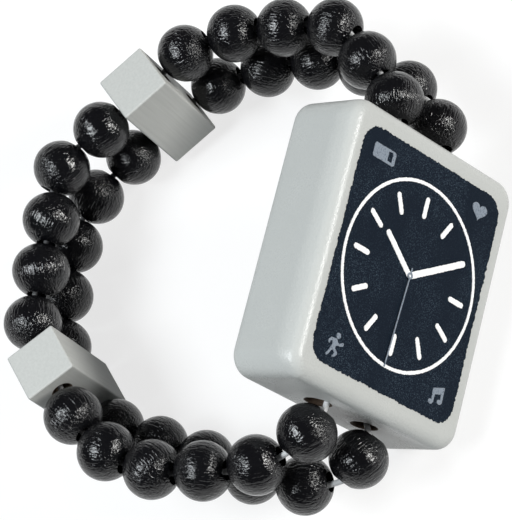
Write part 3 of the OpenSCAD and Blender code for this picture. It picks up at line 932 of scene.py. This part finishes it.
def elasticTree():
    tree, start, end = newGroup("elasticCord", "GeometryNodeTree",
                                [("Line", "Object"), ("Sides", "Int", 12), ("Radius", "Float", 0.4),
                                 ("Paint", "Material")], [("Geometry", "Geometry")])
    line = addNode(tree, "GeometryNodeObjectInfo", {"Object": start["Line"]}).outputs["Geometry"]
    along = addNode(tree, "GeometryNodeSplineParameter").outputs["Length"]
    marked = addNode(tree, "GeometryNodeStoreNamedAttribute",
                     {"Geometry": line, "Name": "alongCord", "Value": calc(tree, "MULTIPLY", along, 1000.0)},
                     data_type="FLOAT", domain="POINT")
    ring = addNode(tree, "GeometryNodeCurvePrimitiveCircle",
                   {"Resolution": start["Sides"], "Radius": start["Radius"]}, mode="RADIUS")
    swept = addNode(tree, "GeometryNodeCurveToMesh", {"Curve": marked.outputs[0],
                                                      "Profile Curve": ring.outputs[0], "Fill Caps": True})
    smooth = addNode(tree, "GeometryNodeSetShadeSmooth", {"Geometry": swept.outputs[0]})
    endTree(tree, smooth.outputs[0], start["Paint"], end)
    return tree


def hermite(a, b, s):  # a and b: a place and the way there
    d = np.linalg.norm(b[0] - a[0])
    return ((2 * s ** 3 - 3 * s ** 2 + 1) * a[0] + (s ** 3 - 2 * s ** 2 + s) * d * a[1]
            + (3 * s ** 2 - 2 * s ** 3) * b[0] + (s ** 3 - s ** 2) * d * b[1])


def stretchOf(holds, steps):
    points = [hermite(a, b, k / steps) for a, b in zip(holds, holds[1:]) for k in range(steps)]
    return points + [holds[-1][0]]


def even(points):  # a line of one thickness
    return [(p, 1.0) for p in points]


def elasticHolds(row, out, exits, look):  # place and way in beads 1 to 17, and at two places in each spacer
    depth = spacerHalf("spacer_six")[0]
    faces = {}
    for name, before in spacerAfter.items():
        centre, axes = spacers[name]
        along = axes[0] * math.copysign(1, axes[0] @ (row[before][0] - row[before - 1][0]))
        faces[before] = (centre + out, along)
    way = [(exits[0], 0)]  # places on the row's way, and which bead each belongs to
    for i in range(1, beadsInRow + 1):
        way.append((row[i - 1][0], i))
        if i in faces:
            middle, along = faces[i]
            way += [(middle - along * depth, 0), (middle + along * depth, 0)]
    way.append((exits[1], 0))
    room = look["stand"] * (look["bore"] - look["diameter"]) / 2
    chain = []
    for (last, _), (place, bead), (following, _) in zip(way, way[1:], way[2:]):
        if bead:
            before, after = unit(place - last), unit(following - place)
            chain.append((place - room * (after - before), unit(after + before)))
    for i in sorted(faces, reverse=True):
        middle, along = faces[i]
        reach = look["hold"] * depth
        chain[i:i] = [(middle - along * reach, along), (middle + along * reach, along)]
    return chain


def makeElastic(word, look):
    row = rows[word]
    out = (1 if word == "top" else -1) * rowPitch() / 2 * rowWay
    exits = [caseCentre + np.array([0, end * caseHalf[1], 0]) + out for end in (-1, 1)]
    chain = elasticHolds(row, out, exits, look)
    steps, downCase, hold = look["steps"], np.array([0, -1.0, 0]), np.array([0, look["caseHold"], 0])
    runIn = stretchOf([(exits[0] + hold, downCase), chain[0]], 3 * steps)
    runOut = stretchOf([chain[-1], (exits[1] - hold, downCase)], 3 * steps)
    cutIn = max(k for k, p in enumerate(runIn) if p[1] > exits[0][1] + look["caseJoint"])
    cutOut = min(k for k, p in enumerate(runOut) if p[1] < exits[1][1] - look["caseJoint"])
    mouthIn = min(k for k, p in enumerate(runIn) if np.linalg.norm(p - row[0][0]) < look["mouth"])
    mouthOut = max(k for k, p in enumerate(runOut) if np.linalg.norm(p - row[-1][0]) < look["mouth"])
    middle, swell = (exits[0] + exits[1]) / 2, look["knot"] / look["diameter"] - 1
    knot = [(middle + q * look["knotLength"] / 2 * downCase, 1 + swell * w) for q, w in look["knotForm"]]
    inside = even(runOut[cutOut:]) + knot + even(runIn[:cutIn + 1])
    pieces = {  # lines, the body that a piece rides on, or where it passes from one body to the next
        "InCase": ([inside], "case", None),
        "OutSix": ([even(runIn[cutIn:])], None, ("case", "elastic", runIn[cutIn], runIn[mouthIn])),
        "OutTwelve": ([even(runOut[:cutOut + 1])], None,
                      ("case", "elastic", runOut[cutOut], runOut[mouthOut])),
        "Ends": ([even(stretchOf(chain[0:3], steps)), even(stretchOf(chain[-3:], steps))], "elastic", None),
        "StretchSix": ([even(stretchOf(chain[2:4], 2 * steps))], None,
                       ("elastic", "band_back", chain[2][0], chain[3][0])),
        "StretchTwelve": ([even(stretchOf(chain[-4:-2], 2 * steps))], None,
                          ("elastic", "band_back", chain[-3][0], chain[-4][0])),
        "Back": ([even(stretchOf(chain[3:-3], steps))], "band_back", None),
    }
    node = f"elastic_{word}"
    tree = elasticTree()
    for name, (lines, body, blend) in pieces.items():
        guide = drawLines("cordLine", [[(p * mm, r) for p, r in line] for line in lines])
        # painted shade: the elastic on the back and the stretches gets the dark colour of the shadow between beads
        paint = paints["cordShade" if name in ("Back", "StretchSix", "StretchTwelve") else "cord"]
        piece = growPiece(f"elastic{word.capitalize()}{name}", tree,
                          {"Line": guide, "Sides": look["sides"], "Radius": look["diameter"] / 2 * mm,
                           "Paint": paint})
        bpy.data.objects.remove(guide)
        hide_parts(node)
        if body:
            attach(piece, body)
        else:
            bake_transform(piece)
    print("elastic made:", word, len(pieces), "pieces")


addCamera(cameraLook)
for name, look in lightLook.items():
    addLight(name, look)
makeFloor(floorLook)
makeWorld(roomLight)
makeCase(caseShape)
makeDial(dialPrint)
for name in spacers:
    makeSpacer(name, spacerShape)
makeBeads(beadShape)
for word in rows:
    makeElastic(word, elasticShape)
bpy.context.scene.view_settings.view_transform = "Standard"

print("scene made")
